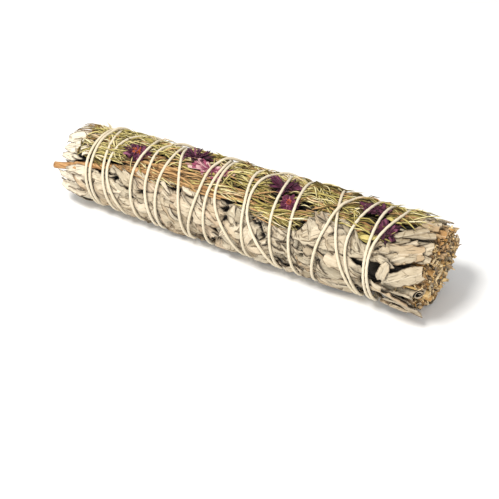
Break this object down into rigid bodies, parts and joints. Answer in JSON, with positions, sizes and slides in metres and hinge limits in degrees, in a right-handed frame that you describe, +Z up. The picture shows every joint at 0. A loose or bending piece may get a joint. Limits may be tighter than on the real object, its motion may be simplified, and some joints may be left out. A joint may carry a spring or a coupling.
{
  "type": "sage smudge stick",
  "caption": "Bundle of dried white sage, wound crosswise with cotton string, with a strip of fine-leaved herb and papery flowers along the top and cut stems at one end.",
  "frame": {"origin": "on the surface that the bundle lies on, under the middle of its length and its axis, at the flat middle of the lowest leaf", "axes": "+X along the bundle, from the leaf tips to the cut stems; +Z up; -Y is the front, with the twig"},
  "size_m": [0.2177, 0.0529, 0.047],
  "materials": {
    "sage_leaf": "matt, felted",
    "cut_wood": "rough cut",
    "tan_wood": "smooth bark",
    "fine_leaf": "matt",
    "purple_petal": "papery",
    "magenta_petal": "papery",
    "cotton_string": "twisted cotton"
  },
  "bodies": {
    "root": {"sprig_1_leaves": "sage_leaf", "sprig_2_leaves": "sage_leaf", "sprig_3_leaves": "sage_leaf", "sprig_4_leaves": "sage_leaf", "sprig_5_leaves": "sage_leaf", "sprig_6_leaves": "sage_leaf", "cut_stem_01": "cut_wood", "cut_stem_02": "cut_wood", "cut_stem_03": "cut_wood", "cut_stem_04": "cut_wood", "cut_stem_05": "cut_wood", "cut_stem_06": "cut_wood", "cut_stem_07": "cut_wood", "cut_stem_08": "cut_wood", "cut_stem_09": "cut_wood", "cut_stem_10": "cut_wood", "cut_stem_11": "cut_wood", "cut_stem_12": "cut_wood", "cut_stem_13": "cut_wood", "cut_stem_14": "cut_wood", "twig": "tan_wood", "fine_leaf_spray_01": "fine_leaf", "fine_leaf_spray_02": "fine_leaf", "fine_leaf_spray_03": "fine_leaf", "fine_leaf_spray_04": "fine_leaf", "fine_leaf_spray_05": "fine_leaf", "fine_leaf_spray_06": "fine_leaf", "fine_leaf_spray_07": "fine_leaf", "fine_leaf_spray_08": "fine_leaf", "fine_leaf_spray_09": "fine_leaf", "fine_leaf_spray_10": "fine_leaf", "fine_leaf_spray_11": "fine_leaf", "flower_1": "purple_petal", "flower_2": "purple_petal", "flower_3": "magenta_petal", "flower_4": "purple_petal", "flower_5": "magenta_petal", "flower_6": "purple_petal", "flower_7": "purple_petal", "cotton_string": "cotton_string"}
  },
  "joints": []
}
